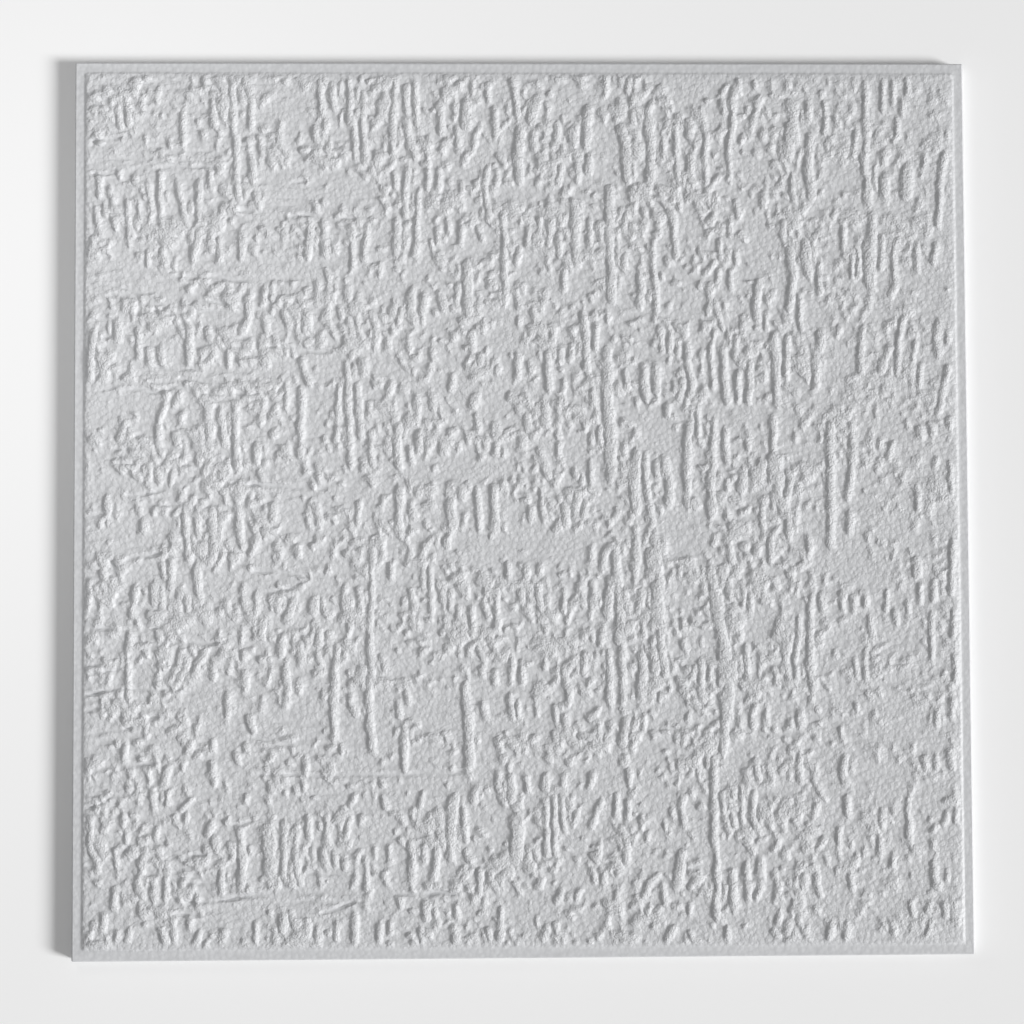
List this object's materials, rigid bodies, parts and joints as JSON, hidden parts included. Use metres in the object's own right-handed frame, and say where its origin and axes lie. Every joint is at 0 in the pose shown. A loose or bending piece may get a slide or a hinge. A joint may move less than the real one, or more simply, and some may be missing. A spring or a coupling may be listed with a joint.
{
  "type": "polystyrene ceiling tile",
  "caption": "Square white foam ceiling tile with a raised bark-like relief of wavy upright ridges inside a narrow flat margin, and a flat back for gluing.",
  "frame": {"origin": "centre of the flat back face", "axes": "+Z out of the relief, away from the back; +Y along the ridges, towards the picture's upper edge; +X across the ridges"},
  "size_m": [0.5, 0.5, 0.01],
  "materials": {
    "foam": "matte, fine beaded foam skin"
  },
  "bodies": {
    "root": {"tile": "foam"}
  },
  "joints": []
}
